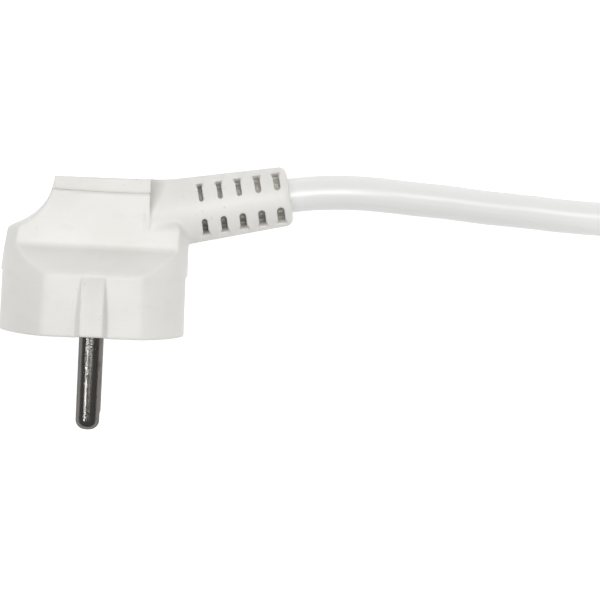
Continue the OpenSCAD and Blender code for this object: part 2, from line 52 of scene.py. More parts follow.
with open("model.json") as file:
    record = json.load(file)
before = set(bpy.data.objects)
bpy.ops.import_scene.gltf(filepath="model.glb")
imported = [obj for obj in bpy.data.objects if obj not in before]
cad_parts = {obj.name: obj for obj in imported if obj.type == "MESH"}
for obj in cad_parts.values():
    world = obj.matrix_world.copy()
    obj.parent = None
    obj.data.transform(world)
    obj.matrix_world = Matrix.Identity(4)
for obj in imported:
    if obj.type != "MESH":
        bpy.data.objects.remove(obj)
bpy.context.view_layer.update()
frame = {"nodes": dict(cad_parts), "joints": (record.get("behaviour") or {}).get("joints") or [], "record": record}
BODY = "lead"
MM = 0.001
SHARP_ANGLE = math.radians(40)


def box_mm(node):
    """A node's lowest and highest corners, in millimetres."""
    low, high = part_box(node)
    return np.array(low) / MM, np.array(high) / MM


# places from the frame, and the sizes that it doesn't give
SHELL_LOW, SHELL_HIGH = box_mm("plug_overmould")
PLUG_R = 18.9
FLATS_R = (SHELL_HIGH[2] - SHELL_LOW[2]) / 2
PLUG_AT = np.array([SHELL_LOW[0] + PLUG_R, SHELL_LOW[1], SHELL_LOW[2] + FLATS_R])
PLUG_H = 31.6
CASING_LOW, CASING_HIGH = box_mm("socket_casing")
SOCKET_R = (CASING_HIGH[2] - CASING_LOW[2]) / 2
RECESS_DEPTH = 17.5
SOCKET_AT = np.array([
    CASING_HIGH[0] - RECESS_DEPTH,
    (CASING_LOW[1] + CASING_HIGH[1]) / 2,
    (CASING_LOW[2] + CASING_HIGH[2]) / 2,
])

# strain relief: the angle and the root of its axis, in the plug's own axes
TILT = math.radians(11.1)
RELIEF_ROOT = np.array([19.2, 25.6])
RELIEF_LEN = 20.1
CORD_R = 3.5
BORE_GAP = 0.08

# plug housing: heights, half widths and slopes, in the plug's own axes
SIDE_EXTRA, SIDE_DRAFT = 0.22, 0.012
SHOULDER_H, SHOULDER_FACE = 12.8, (0.845, 0.535)
GRIP_H, GRIP_HALF, GRIP_DRAFT, GRIP_END = 17.7, 8.68, 0.040, 10.7
TOP_RISE, TOP_LEAN, TOP_BACK = 0.2, 0.008, 0.05
SWEEP_R, SWEEP_U, SWEEP_H = 12.05, -20.75, 32.4
FLANK_TOP = 23.6
LIP_HALF, LIP_H, LIP_SAG, LIP_START = 8.75, 29.15, 0.32, -9.1
GROOVE_DEEP, GROOVE_H, GROOVE_HALF, GROOVE_WALL = 1.55, 12.6, 2.25, 0.819
POCKET_R, POCKET_HALF, POCKET_H = 15.6, 13.4, 10.1
CLIP_R, CLIP_HALF, CLIP_H = 17.5, 3.9, 12

# ringed sleeves: radii at the root and the end, then the first slot, the pitch and the count;
# the socket's first slot is measured from the sleeve's end
PLUG_SLEEVE = (6.72, 6.02, 2.2, 3.88, 5)
SOCKET_SLEEVE_RADII, SOCKET_FIRST_SLOT, SOCKET_SLOTS = (7.4, 6.05), 18.5, (3.9, 5)
SLOT_SIDE, SLOT_ROUND, SLOT_WALL = 4.3, 1.8, 0.28
WEB_HALF = 0.5

# pins: the part outside the housing, then the collar that the insert holds
PIN_R, PIN_LEN, PIN_ROUND, PIN_OFF_AXIS, PIN_SIDES = 2.4, 19, 1.95, 9.5, 64
PIN_NECK, PIN_COLLAR, PIN_INSIDE = 2.25, 2.9, 10

# socket casing: grip, dome behind it and flutes round it
COLLAR_STEP, DOME_AT, DOME_ROUND = 2.2, -21.9, 12
RECESS_R, SEAT_R, SEAT_DEPTH, NECK_R = 21.5, 19.3, -2.7, 6.2
RIM_ROUND = 1.2
FLUTES, FLUTE_DEEP, STEPS_TO_FLUTE = 28, 0.55, 12

# tie and return spring
TIE_THICK, TIE_TOP, TIE_CORNER, TIE_STEP = 1.15, 31.0, 3.6, 0.6
SPRING_WIRE, SPRING_TURNS = 0.5, 7.5

# one unit of the UV map, in millimetres
CORD_UV, TIE_UV = 100, 2


# ---------------------------------------------------------------- shapes

def smooth_min(a, b, k):
    """Lesser of two fields, with the crease between them rounded over a width k."""
    t = np.clip(0.5 + 0.5 * (b - a) / k, 0, 1)
    return b + (a - b) * t - k * t * (1 - t)


def smooth_max(a, b, k):
    """Greater of two fields, with the edge between them rounded over a width k."""
    return -smooth_min(-a, -b, k)


def ease(x):
    """Smooth step: 0 below 0, 1 above 1, and 3x^2 - 2x^3 between."""
    x = np.clip(x, 0, 1)
    return x * x * (3 - 2 * x)


def level_surface(field, low, high, cell):
    """Closed surface on which field is zero, where the field is negative inside.

    Each grid cell that the surface crosses gets one point, at the mean of the crossings on
    its edges; the point then moves along the field's slope onto the surface, in three rounds
    of at most half a cell. Each crossed grid edge gives the quad that joins its four cells.
    """
    low, high = np.array(low, float), np.array(high, float)
    axes = [np.arange(a, b + cell, cell) for a, b in zip(low, high)]
    value = field(*np.meshgrid(*axes, indexing="ij"))
    cells = tuple(n - 1 for n in value.shape)
    total, count = np.zeros(cells + (3,)), np.zeros(cells)
    crossed = []
    for a in range(3):
        first, second = [slice(None)] * 3, [slice(None)] * 3
        first[a], second[a] = slice(None, -1), slice(1, None)
        start, end = value[tuple(first)], value[tuple(second)]
        at = np.argwhere((start < 0) != (end < 0))
        v0, v1 = start[tuple(at.T)], end[tuple(at.T)]
        spot = at.astype(float)
        spot[:, a] += v0 / (v0 - v1)
        b, c = (a + 1) % 3, (a + 2) % 3
        ring = []
        for db, dc in ((-1, -1), (0, -1), (0, 0), (-1, 0)):
            own = at.copy()
            own[:, b] += db
            own[:, c] += dc
            ring.append(own)
            ok = np.all((own >= 0) & (own < np.array(cells)), axis=1)
            np.add.at(total, tuple(own[ok].T), spot[ok])
            np.add.at(count, tuple(own[ok].T), 1)
        ring = np.stack(ring, 1)
        flip = v0 > 0
        ring[flip] = ring[flip][:, ::-1]
        crossed.append(ring)
    used = count > 0
    index = np.full(cells, -1)
    index[used] = np.arange(used.sum())
    points = low + cell * total[used] / count[used][:, None]
    ring = np.concatenate(crossed)
    faces = index[ring[..., 0], ring[..., 1], ring[..., 2]]
    step = cell / 20
    for _ in range(3):
        here = field(*points.T)
        slope = np.stack([
            (field(*(points + d).T) - field(*(points - d).T)) / (2 * step)
            for d in step * np.eye(3)
        ], 1)
        move = here[:, None] * slope / np.maximum((slope ** 2).sum(1), 0.2)[:, None]
        points = points - np.clip(move, -cell / 2, cell / 2)
    return points, faces


def grid_faces(rows, columns):
    """Quads of a grid of points in row order, whose last column joins its first."""
    r = np.arange(rows - 1)[:, None]
    c = np.arange(columns)[None, :]
    n = (c + 1) % columns
    return np.stack([r * columns + c, r * columns + n, (r + 1) * columns + n,
                     (r + 1) * columns + c], -1).reshape(-1, 4)


def lathe(profile, sides, radius_of):
    """Closed surface from a closed profile of (radius, along) points turned round the axis.

    A point is (along, r cos a, r sin a), for a over the full turn, where radius_of gives r
    from the profile's radius, the place along the axis and the angle. A profile point that
    repeats the one before it is left out.
    """
    profile = np.array(profile, float)
    step = np.linalg.norm(np.diff(profile, axis=0), axis=1)
    profile = profile[np.concatenate([[True], step > 1e-6])]
    a = np.linspace(0, 2 * np.pi, sides, endpoint=False)
    along = np.repeat(profile[:, 1:], sides, 1)
    r = radius_of(np.repeat(profile[:, :1], sides, 1), along, a[None, :])
    points = np.stack([along, r * np.cos(a), r * np.sin(a)], -1).reshape(-1, 3)
    rows = len(profile)
    faces = grid_faces(rows, sides)
    k = np.arange(sides)
    last = (rows - 1) * sides
    close = np.stack([last + k, last + (k + 1) % sides, (k + 1) % sides, k], 1)
    return points, np.concatenate([faces, close])


def directions(path):
    """Unit direction of a path at each of its points."""
    t = np.gradient(path, axis=0)
    return t / np.linalg.norm(t, axis=1)[:, None]


def sweep(path, rings):
    """Closed tube from rings of points round a path, with a fan to the path at each end.

    Each ring starts on the right of the path and goes over its top, so faces point outwards.
    """
    n, sides = rings.shape[:2]
    points = np.concatenate([rings.reshape(-1, 3), path[:1], path[-1:]])
    k = np.arange(sides)
    start = np.stack([k, (k + 1) % sides, np.full(sides, n * sides)], 1)
    base = (n - 1) * sides
    end = np.stack([base + (k + 1) % sides, base + k, np.full(sides, n * sides + 1)], 1)
    return points, grid_faces(n, sides)[:, ::-1], np.concatenate([start, end])


def tube(path, radius, sides):
    """Tube along a path: each ring is p + r (cos a S + sin a U), with S level and U upward.

    radius is a number or one value for each path point.
    """
    t = directions(path)
    s = np.cross(t, [0, 0, 1.0])
    s /= np.linalg.norm(s, axis=1)[:, None]
    u = np.cross(s, t)
    a = np.linspace(0, 2 * np.pi, sides, endpoint=False)[None, :, None]
    r = np.broadcast_to(np.asarray(radius, float).reshape(-1, 1, 1), (len(path), sides, 1))
    return sweep(path, path[:, None] + r * (np.cos(a) * s[:, None] + np.sin(a) * u[:, None]))


def spline(knots, spacing):
    """Natural cubic spline through the knots, by chord length, at an even spacing."""
    knots = np.array(knots, float)
    x = np.concatenate([[0], np.cumsum(np.linalg.norm(np.diff(knots, axis=0), axis=1))])
    h = np.diff(x)
    n = len(knots)
    matrix = np.eye(n)
    right = np.zeros((n, 3))
    i = np.arange(1, n - 1)
    matrix[i, i - 1], matrix[i, i], matrix[i, i + 1] = h[:-1], 2 * (h[:-1] + h[1:]), h[1:]
    rise = np.diff(knots, axis=0) / h[:, None]
    right[1:-1] = 6 * np.diff(rise, axis=0)
    bend = np.linalg.solve(matrix, right)
    at = np.linspace(0, x[-1], int(x[-1] / spacing) + 1)
    k = np.clip(np.searchsorted(x, at, side="right") - 1, 0, n - 2)
    d, w = (at - x[k])[:, None], h[k][:, None]
    return (knots[k] + d * (rise[k] - w * (2 * bend[k] + bend[k + 1]) / 6)
            + d ** 2 * bend[k] / 2 + d ** 3 * (bend[k + 1] - bend[k]) / (6 * w))


# ---------------------------------------------------------------- pieces' forms

def relief_radius(s):
    """Radius of the plug's neck and strain relief at s from the relief's root."""
    return np.where(s > 0, 6.75 - 0.034 * s, 6.75 + 0.0125 * np.minimum(s, 0) ** 2)


def along_relief(u, h):
    """Places along and across the strain relief's axis of points in the plug's plane."""
    du, dh = u - RELIEF_ROOT[0], h - RELIEF_ROOT[1]
    return (du * math.cos(TILT) + dh * math.sin(TILT),
            dh * math.cos(TILT) - du * math.sin(TILT))


def on_relief_axis(s, d, v):
    """Points of the plug's axes (u, h, v) from s along, d across and v above the relief's axis."""
    return np.stack([
        RELIEF_ROOT[0] + s * math.cos(TILT) - d * math.sin(TILT),
        RELIEF_ROOT[1] + s * math.sin(TILT) + d * math.cos(TILT), v + 0 * s], 1)


def lip_under(u):
    """Height of the lip's lower edge, which sags a little in the middle."""
    return LIP_H - LIP_SAG * (1 - ((u - 3) / 12) ** 2)


def shell_field(u, h, v):
    """Moulded housing of the plug: flat sides, sloping shoulders, grip, lip and neck."""
    t = np.abs(v)
    radial = np.sqrt(u * u + v * v)
    flat = t - FLATS_R
    slope = SHOULDER_FACE[0] * (h - SHOULDER_H) + SHOULDER_FACE[1] * (t - FLATS_R)
    grip = GRIP_DRAFT * (h - GRIP_H) + t - GRIP_HALF
    thick = smooth_max(flat, smooth_min(slope, grip, 0.9), 0.7)
    # the flank away from the cord draws in towards its top
    drawn_in = 1.35 * np.clip((h - 11) / 12, 0, 1) ** 1.5 * ease(-u / 10)
    round_side = radial - (PLUG_R + SIDE_EXTRA - SIDE_DRAFT * h) + drawn_in
    hollow = SWEEP_R - np.hypot(u - SWEEP_U, h - SWEEP_H)
    top = h - (PLUG_H + TOP_RISE + TOP_LEAN * u) + TOP_BACK * (8.7 - v)
    outline = smooth_max(round_side, hollow, 0.5)
    sides = smooth_max(thick, outline, 0.5)
    grip_part = smooth_max(smooth_max(sides, top, 0.5), u - GRIP_END, 0.25)
    low_part = smooth_max(sides, h - FLANK_TOP, 3.0)
    # lip along the top edge of the grip
    lip = smooth_max(t - LIP_HALF, smooth_max(top, lip_under(u) - h, 0.3), 0.45)
    lip_ends = np.maximum(u - GRIP_END, smooth_max(LIP_START - u, hollow, 0.3))
    lip = smooth_max(lip, lip_ends, 0.3)
    # neck that carries the strain relief, a little wider than it is high at its root
    s, d = along_relief(u, h)
    r = relief_radius(s)
    w = r + 0.62 * ease(-s / 8.5)
    neck = (np.sqrt((d / r) ** 2 + (v / w) ** 2) - 1) * r
    neck = np.maximum(neck, np.maximum(s - 0.2, 10 - u))
    body = np.minimum(np.minimum(grip_part, lip), low_part)
    body = smooth_min(body, neck, 0.6)
    # guide grooves in both flat sides, deepest at the pin face
    depth = GROOVE_DEEP * (1 - np.clip(h / GROOVE_H, 0, 1) ** 2.2)
    over = t - (FLATS_R - depth)
    groove = np.maximum(-over, GROOVE_WALL * (np.abs(u) - GROOVE_HALF - 0.7 * over))
    body = smooth_max(body, -groove, 0.22)
    body = smooth_max(body, -h, 0.5)
    # room for the pins' insert, and slots for the earth strap's clips
    pocket = np.maximum(np.maximum(radial - POCKET_R, t - POCKET_HALF), h - POCKET_H)
    clip = np.maximum(np.maximum(CLIP_R - np.abs(u), t - CLIP_HALF), h - CLIP_H)
    bore = np.maximum(np.hypot(d, v) - CORD_R - BORE_GAP, -12 - s)
    return np.maximum(np.maximum(body, -np.minimum(pocket, clip)), -bore)


def shell_painted_shade(u, h, v):
    """Painted shade on the housing: a darker wedge beside the grip's step, and a painted shadow line under its
    lip.
    """
    above = h - FLANK_TOP + 0.1
    past = u - GRIP_END
    reach = 2.7 * ease(above / 7.5) + 0.3
    beside = np.clip((past + 0.2) / 0.3, 0, 1) * np.clip(1 - (past - 0.1) / reach, 0, 1)
    # painted shade: a darker wedge in the corner just past the grip's step
    wedge = beside * ease(above / 3)
    # painted shadow: a thin dark line along the lip's lower edge
    below_lip = np.abs(h - lip_under(u) + 0.15)
    line = np.clip(1 - below_lip / 0.35, 0, 1) * (np.abs(u) < GRIP_END)
    return 0.55 * wedge + 0.14 * line


def relief_field(length, r_root, r_end, first, pitch, count):
    """Field of a ringed sleeve along s: slots on both sides of a spine, with a web in each.

    Beside the spine a slot goes down almost to the cord. From there its floor is a shallow
    slope that widens as it climbs, and meets the sleeve's outline level with the rings. The
    web lies in the plug's middle plane and parts the slot's upper half from its lower one.
    The radius falls evenly from r_root to r_end over the length, and each slot is a little
    wider than the one before it.
    """
    def field(s, d, v):
        rho = np.hypot(d, v)
        side = np.abs(d)
        r = r_root + (r_end - r_root) * s / length
        out = smooth_max(rho - r, s - length, 1.6)
        out = np.maximum(out, -1.2 - s)
        number = np.clip(np.round((s - first) / pitch), 0, count - 1)
        a = s - first - pitch * number
        climb = np.clip((side - SLOT_SIDE) / (r - SLOT_SIDE), 0, 1)
        narrow = np.where(d > 0, 0.42, 0.56) + 0.05 * number
        below = r - rho
        deep = (r - CORD_R - SLOT_WALL) * np.clip((5.5 - side) / 1.6, 0, 1)
        depth = np.maximum(deep, 0.5 * (1 - climb) + 0.08)
        flare = narrow + climb * 1.1 * np.clip(1.1 - below / (depth + 0.1), 0, 1)
        slot = np.hypot(a, np.maximum(SLOT_ROUND + narrow - side, 0)) - flare
        slot = smooth_max(slot, below - depth, 0.25)
        slot = np.maximum(slot, WEB_HALF - np.abs(v))
        out = smooth_max(out, -slot, 0.2)
        return np.maximum(out, CORD_R + BORE_GAP - rho)
    return field


def slot_painted_shade(length, r_root, r_end, s, d, v):
    """Painted shade in a sleeve's slots, darker in the deeper parts and on the lower side."""
    below = r_root + (r_end - r_root) * s / length - np.hypot(d, v)
    inside = (np.hypot(d, v) > CORD_R + 0.15) & (s > 0) & (s < length - 1)
    # painted shade: darker the deeper into a slot, and darker on the lower side than on the upper
    return ease((below - 0.7) / 1.8) * inside * np.where(d > 0, 0.36, 0.76)


def arc_points(cx, cy, r, start, end, steps):
    """Points of an arc in degrees, both ends included."""
    a = np.radians(np.linspace(start, end, steps))
    return np.stack([cx + r * np.cos(a), cy + r * np.sin(a)], 1)


# ---------------------------------------------------------------- the cord's route

# the hank's middle, its arcs, and its turns; shifts and the last turn are shares of a turn
HANK_AT = np.array([172.0, -5.0])
FOLD_R, WAIST_R, TURN_PITCH = 21.2, 35.1, 7.1
WAIST_Y = WAIST_R + TURN_PITCH / 2
FOLD_X = math.sqrt((FOLD_R + WAIST_R) ** 2 - WAIST_Y ** 2)
TURN_POINTS, FIRST_SHIFT, SHIFT_SHARE, LAST_TURN = 54, 0.745, 0.21, 0.345
TIE_LIFT = 1.3
PATH_STEP = 1.8
# the stretches that aren't coiled
LEAD_ROUTE = [
    (28.7, 21.4, 16.4), (34, 22.1, 16.4), (39, 22.4, 16.3), (44, 22.4, 15.9), (49, 22.1, 15.2),
    (54, 21.7, 14.2), (60, 21.3, 12.6), (66, 20.7, 10.9), (72, 20.2, 9.2), (78, 19.8, 7.5),
    (84, 19.3, 6), (89, 19, 4.9), (94, 18.8, 4.1), (99, 18.8, 3.6), (107, 19.4, 3.5),
    (113, 20.4, 3.5), (120, 21.9, 3.5),
]
TAIL_ROUTE = [
    (240, 6.8, 24.6), (245, 3, 24.4), (250, 0.5, 24.2), (255, -0.7, 24), (260, -1, 23.9),
    (267, -1, 23.9), (275, -1, 23.9), (283, -1, 23.9),
]


def hank_knots():
    """Centreline of the hank: seven turns and a third, two side by side in each layer.

    A turn is two folds joined by two waist arcs of the opposite bend. It shifts sideways or
    rises to the next place in the stack over a fifth of its length; the turn above has moved
    on by then, so two turns stay a diameter apart. Near the waist each turn lifts a little to
    let the tie pass under it, and the last turn stops where the tail leaves.
    """
    lean = math.degrees(math.atan2(WAIST_Y, FOLD_X))
    n = 400
    parts = [
        (-FOLD_X, 0, FOLD_R, 90, lean, 1), (0, WAIST_Y, WAIST_R, 180 + lean, 360 - lean, -1),
        (FOLD_X, 0, FOLD_R, 180 - lean, lean - 180, 1),
        (0, -WAIST_Y, WAIST_R, lean, 180 - lean, -1), (-FOLD_X, 0, FOLD_R, -lean, -270, 1),
    ]
    base = np.concatenate([arc_points(*p[:5], n)[:-1] for p in parts])
    out = np.concatenate([
        sign * (arc_points(0, 0, 1, start, end, n)[:-1]) for _, _, _, start, end, sign in parts])
    length = np.concatenate([[0], np.cumsum(np.linalg.norm(np.diff(base, axis=0), axis=1))])
    q = length / (length[-1] + np.linalg.norm(base[0] - base[-1]))
    moves = [(-1, 0), (0, 1), (1, 0), (0, 1), (-1, 0), (0, 1), (1, 0), (0, 0)]
    place = np.array([1.0, 0.0])
    knots = []
    for turn, move in enumerate(moves):
        f = np.arange(TURN_POINTS) / TURN_POINTS
        if move == (0, 0):
            f = f[f < LAST_TURN]
        start = FIRST_SHIFT - 0.06 * turn
        slot = place + ease((f - start) / SHIFT_SHARE)[:, None] * np.array(move)
        x = np.interp(f, q, base[:, 0]) + TURN_PITCH * slot[:, 0] * np.interp(f, q, out[:, 0])
        y = np.interp(f, q, base[:, 1]) + TURN_PITCH * slot[:, 0] * np.interp(f, q, out[:, 1])
        lift = TIE_LIFT * ease(1 - (np.abs(x) - 8) / 22)
        z = CORD_R + TURN_PITCH * slot[:, 1] + lift
        knots.append(np.stack([x + HANK_AT[0], y + HANK_AT[1], z], 1))
        place = place + move
    return np.concatenate(knots)


def cord_path():
    """Whole centreline, from inside the plug's strain relief to inside the socket's."""
    inside = PLUG_AT + on_relief_axis(np.array([-8.0, 0, 7, 14]), 0, 0)
    knots = np.concatenate([inside, LEAD_ROUTE, hank_knots(), TAIL_ROUTE])
    return spline(knots, PATH_STEP)


# ---------------------------------------------------------------- materials

class Value:
    """A shader value: Python's operators on it add the Math nodes that they stand for."""

    def __init__(self, shader, socket):
        self.shader, self.socket = shader, socket

    def _math(self, operation, *values):
        node = self.shader.add("ShaderNodeMath", {"operation": operation},
                               dict(enumerate(values)))
        return Value(self.shader, node.outputs[0])

    def __add__(self, other):
        return self._math("ADD", self, other)

    def __radd__(self, other):
        return self._math("ADD", other, self)

    def __sub__(self, other):
        return self._math("SUBTRACT", self, other)

    def __rsub__(self, other):
        return self._math("SUBTRACT", other, self)

    def __mul__(self, other):
        return self._math("MULTIPLY", self, other)

    def __rmul__(self, other):
        return self._math("MULTIPLY", other, self)

    def above(self, low, high):
        """0 below low, 1 above high, and smooth between."""
        node = self.shader.add("ShaderNodeMapRange", {"interpolation_type": "SMOOTHSTEP"},
                               {"Value": self, "From Min": low, "From Max": high})
        return Value(self.shader, node.outputs["Result"])


class Shader:
    """A material with one Principled BSDF, and the method that adds any other node."""

    def __init__(self, name, **constants):
        self.material = bpy.data.materials.new(name)
        self.material.use_nodes = True
        self.tree = self.material.node_tree
        self.surface = self.tree.nodes["Principled BSDF"]
        self.object_place = self.add("ShaderNodeTexCoord").outputs["Object"]
        for key, value in constants.items():
            self.surface.inputs[key.replace("_", " ")].default_value = value

    def add(self, kind, settings=None, inputs=None):
        """Adds a node, sets its settings first and then its sockets' values or links."""
        node = self.tree.nodes.new(kind)
        for key, value in (settings or {}).items():
            setattr(node, key, value)
        for key, value in (inputs or {}).items():
            self.feed(node.inputs[key], value)
        return node

    def feed(self, socket, value):
        """Links a value to a socket, or sets the socket to a number, vector or colour."""
        if isinstance(value, Value):
            value = value.socket
        if isinstance(value, bpy.types.NodeSocket):
            self.tree.links.new(value, socket)
        else:
            socket.default_value = value

    def noise(self, scale, detail=2.0, stretch=(1, 1, 1)):
        """Noise from 0 to 1 on Object coordinates, at scale waves to a metre."""
        place = self.add("ShaderNodeMapping", {},
                         {"Vector": self.object_place, "Scale": stretch})
        node = self.add("ShaderNodeTexNoise", {},
                        {"Vector": place.outputs[0], "Scale": scale, "Detail": detail})
        return Value(self, node.outputs["Fac"])

    def tint(self, amount, first, second):
        """Colour that goes from first to second as amount goes from 0 to 1."""
        mix = self.add("ShaderNodeMix", {"data_type": "RGBA"},
                       {"Factor": amount, "A": as_colour(first), "B": as_colour(second)})
        return mix.outputs["Result"]

    def bump(self, height, strength, distance):
        """Sends a height, in units of distance, to the surface's normal."""
        node = self.add("ShaderNodeBump", {},
                        {"Height": height, "Strength": strength, "Distance": distance})
        self.feed(self.surface.inputs["Normal"], node.outputs[0])

    def send(self, **values):
        """Feeds values or links to the surface's own sockets."""
        for key, value in values.items():
            self.feed(self.surface.inputs[key.replace("_", " ")], value)


def as_colour(value):
    """A colour as a link, or as four numbers."""
    if isinstance(value, (tuple, list)) and len(value) == 3:
        return (*value, 1.0)
    return value


def moulded(name, colour, roughness, grain=0.5, dirt_and_painted_shade=0.0):
    """Moulded plastic: a fine spark texture, a faint mottle and, where it is handled, soil, plus painted shade
    from a per-point mesh value that darkens towards the same colour.
    """
    m = Shader(name, IOR=1.5)
    broad, fine = m.noise(90, 3), m.noise(5200, 2)
    dull = tuple(c * k for c, k in zip(colour, (0.955, 0.955, 0.95)))
    base = m.tint(broad.above(0.35, 0.7), colour, dull)
    if dirt_and_painted_shade:
        specks = m.noise(1500, 1).above(0.69, 0.74) * m.noise(60, 2).above(0.5, 0.62)
        rub = m.noise(160, 5, stretch=(1, 2.5, 1)).above(0.56, 0.74)
        # painted shade: the per-point mesh value pulls the colour towards the dark tint in hollows, creases and on
        # lower sides
        painted_shade = Value(m, m.add("ShaderNodeAttribute", {"attribute_name": "dirt_and_painted_shade"}).outputs["Fac"])
        base = m.tint(specks * (dirt_and_painted_shade * 0.5) + rub * (dirt_and_painted_shade * 0.10) + painted_shade, base,
                      (0.33, 0.30, 0.26))
    m.send(Base_Color=base, Roughness=roughness + (fine - 0.5) * 0.12 + (broad - 0.5) * 0.1)
    m.bump(fine + m.noise(1700, 2) * 0.8, grain, 0.00004)
    return m.material


def sheath(name, colour):
    """Extruded cord sheath: smooth, a little glossy, with faint marks along its length."""
    m = Shader(name, IOR=1.5, Coat_Weight=0.12, Coat_Roughness=0.22)
    uv = m.add("ShaderNodeUVMap", {"uv_map": "along"}).outputs[0]
    place = m.add("ShaderNodeMapping", {}, {"Vector": uv, "Scale": (26, 0.9, 1)})
    streak = Value(m, m.add("ShaderNodeTexNoise", {},
                            {"Vector": place.outputs[0], "Scale": 1.0, "Detail": 3.0}
                            ).outputs["Fac"])
    broad = m.noise(45, 2)
    dull = tuple(c * 0.955 for c in colour)
    m.send(Base_Color=m.tint(streak.above(0.3, 0.75) * 0.6 + broad * 0.3, colour, dull),
           Roughness=0.3 + (streak - 0.5) * 0.12)
    m.bump(streak + m.noise(900, 2) * 0.5, 0.25, 0.00005)
    return m.material


def plated(name, colour, roughness, stretch=(1, 0.03, 1), rim=1.0):
    """Plated metal: fine scratches the way a pin slides, and patches worn duller.

    rim is the share of light that it returns at a glancing angle.
    """
    m = Shader(name, Metallic=1.0, Specular_Tint=(rim, rim, rim, 1))
    scratch = m.noise(9000, 2, stretch)
    pitted = m.noise(3400, 3)
    patch = m.noise(420, 4)
    worn = patch.above(0.52, 0.72)
    dark = tuple(c * k for c, k in zip(colour, (0.72, 0.69, 0.64)))
    m.send(Base_Color=m.tint(worn, colour, dark),
           Roughness=roughness + scratch.above(0.55, 0.7) * 0.1 + worn * 0.12)
    m.bump(scratch * 0.5 + pitted, 0.7, 0.00005)
    return m.material


def insulation(name, colour):
    """Coloured core insulation with a soft sheen."""
    m = Shader(name, IOR=1.5)
    grain = m.noise(700, 2)
    dull = tuple(c * 0.85 for c in colour)
    m.send(Base_Color=m.tint(grain, colour, dull), Roughness=0.3 + grain * 0.15)
    m.bump(grain, 0.15, 0.00004)
    return m.material


def striped_insulation(name, green, yellow):
    """Green insulation with yellow stripes that run round it."""
    m = Shader(name, IOR=1.5)
    wave = m.add("ShaderNodeTexWave", {"bands_direction": "DIAGONAL"},
                 {"Vector": m.object_place, "Scale": 160.0, "Distortion": 0.4})
    band = Value(m, wave.outputs["Fac"]).above(0.45, 0.55)
    m.send(Base_Color=m.tint(band, green, yellow), Roughness=0.32 + m.noise(700, 2) * 0.12)
    return m.material


def webbing(name, colour):
    """Hook-and-loop strap: rows of woven yarn along the UV map, with a fuzzy nap."""
    m = Shader(name, Sheen_Weight=0.35, Sheen_Roughness=0.5)
    uv = m.add("ShaderNodeUVMap", {"uv_map": "along"}).outputs[0]
    across = m.add("ShaderNodeTexWave", {"bands_direction": "X"}, {"Vector": uv, "Scale": 5.0})
    down = m.add("ShaderNodeTexWave", {"bands_direction": "Y"}, {"Vector": uv, "Scale": 5.0})
    yarn = Value(m, across.outputs["Fac"]) * Value(m, down.outputs["Fac"])
    nap = m.noise(2600, 4)
    light = tuple(c * 1.9 for c in colour)
    m.send(Base_Color=m.tint(yarn * 0.6 + nap * 0.4, colour, light),
           Roughness=0.82 + nap * 0.12)
    m.bump(yarn + nap * 0.7, 0.7, 0.0002)
    return m.material


MATERIALS = {}


def material_for(slot):
    """The material of a slot of the record, made when it is first asked for."""
    colours = bpy.context.scene.cord_colours
    makers = {
        "white_pvc": lambda: moulded("moulded white", tuple(colours.housing), 0.46, 0.45, 0.5),
        "insert_white": lambda: moulded("insert white", tuple(colours.insert), 0.34, 0.25),
        "shutter_grey": lambda: moulded("shutter grey", (0.62, 0.62, 0.6), 0.34, 0.25),
        "cord_white": lambda: sheath("cord sheath", tuple(colours.cord)),
        "nickel": lambda: plated("nickel plate", tuple(colours.pins), 0.13, rim=0.5),
        "brass": lambda: plated("brass", (0.76, 0.56, 0.24), 0.25, stretch=(0.05, 1, 1)),
        "spring_steel": lambda: plated("spring steel", (0.55, 0.56, 0.58), 0.28),
        "core_brown": lambda: insulation("brown core", (0.15, 0.06, 0.03)),
        "core_blue": lambda: insulation("blue core", (0.03, 0.12, 0.5)),
        "core_green_yellow": lambda: striped_insulation(
            "green and yellow core", (0.05, 0.34, 0.06), (0.75, 0.62, 0.05)),
        "tie_black": lambda: webbing("hook-and-loop strap", tuple(colours.tie)),
    }
    if slot not in MATERIALS:
        MATERIALS[slot] = makers[slot]()
    return MATERIALS[slot]


def make_piece(name, points, faces, slot, replaces, uv=None, triangles=None, dirt_and_painted_shade=None):
    """Mesh piece from points in millimetres, riding on the lead, with its slot's finish."""
    mesh = bpy.data.meshes.new(name)
    lists = [np.asarray(faces)] + ([np.asarray(triangles)] if triangles is not None else [])
    sizes = np.concatenate([np.full(len(f), f.shape[1]) for f in lists])
    corners = np.concatenate([f.reshape(-1) for f in lists]).astype(np.int32)
    mesh.vertices.add(len(points))
    mesh.vertices.foreach_set("co", (np.asarray(points) * MM).astype(np.float32).reshape(-1))
    mesh.loops.add(len(corners))
    mesh.loops.foreach_set("vertex_index", corners)
    mesh.polygons.add(len(sizes))
    mesh.polygons.foreach_set("loop_start", np.concatenate([[0], np.cumsum(sizes)[:-1]]))
    if uv is not None:
        layer = mesh.uv_layers.new(name="along")
        layer.data.foreach_set("uv", uv[corners].astype(np.float32).reshape(-1))
    # painted shade: these per-point values darken the moulded finish's colour where shade falls
    if dirt_and_painted_shade is not None:
        layer = mesh.attributes.new("dirt_and_painted_shade", "FLOAT", "POINT")
        layer.data.foreach_set("value", dirt_and_painted_shade.astype(np.float32))
    mesh.update(calc_edges=True)
    mesh.validate()
    mesh.polygons.foreach_set("use_smooth", np.ones(len(mesh.polygons), bool))
    mesh.set_sharp_from_angle(angle=SHARP_ANGLE)
    piece = bpy.data.objects.new(name, mesh)
    bpy.context.scene.collection.objects.link(piece)
    mesh.materials.append(material_for(slot))
    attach(piece, BODY)
    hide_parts(*replaces)
    return piece


# ---------------------------------------------------------------- sizes and colours

